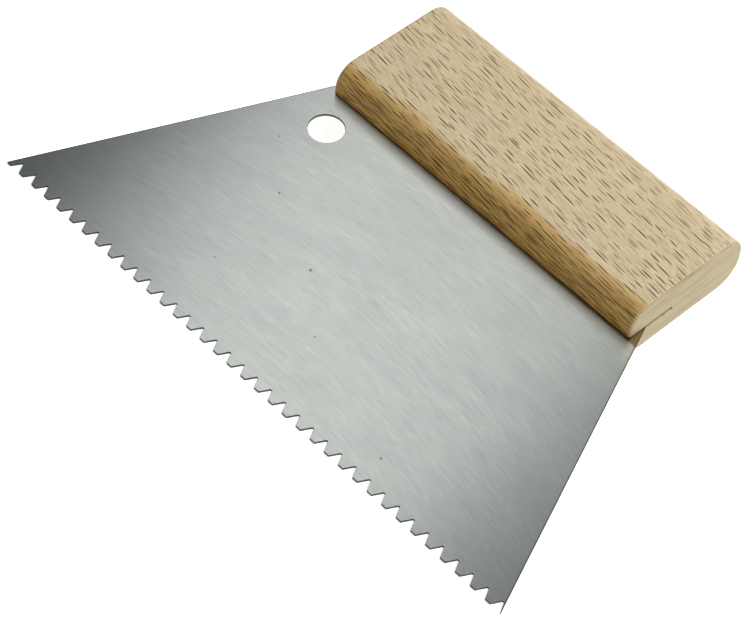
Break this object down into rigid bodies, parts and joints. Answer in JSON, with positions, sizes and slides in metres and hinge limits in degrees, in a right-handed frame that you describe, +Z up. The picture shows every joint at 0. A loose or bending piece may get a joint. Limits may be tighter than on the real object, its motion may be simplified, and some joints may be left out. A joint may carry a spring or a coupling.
{
  "type": "notched trowel",
  "caption": "Notched adhesive spreader: a tapered steel blade with a V-notched edge and a hang hole, held in the saw kerf of a rounded beech bar handle.",
  "frame": {"origin": "on the bench plane under the middle of the tool's footprint, with the tool lying as it comes to rest: on its tooth tips and on the lower front edge of the handle", "axes": "+X along the row of teeth, +Y from the teeth towards the handle, +Z up from the bench; the blade leans up towards the handle by 4.73 degrees"},
  "size_m": [0.18, 0.1226, 0.0193],
  "materials": {
    "blade_steel": "fine brushed, satin",
    "handle_beech": "sanded, unvarnished beech",
    "nail_steel": "bright drawn wire"
  },
  "bodies": {
    "root": {"blade": "blade_steel", "handle": "handle_beech", "retaining_nail_1": "nail_steel", "retaining_nail_2": "nail_steel", "retaining_nail_3": "nail_steel"}
  },
  "joints": []
}
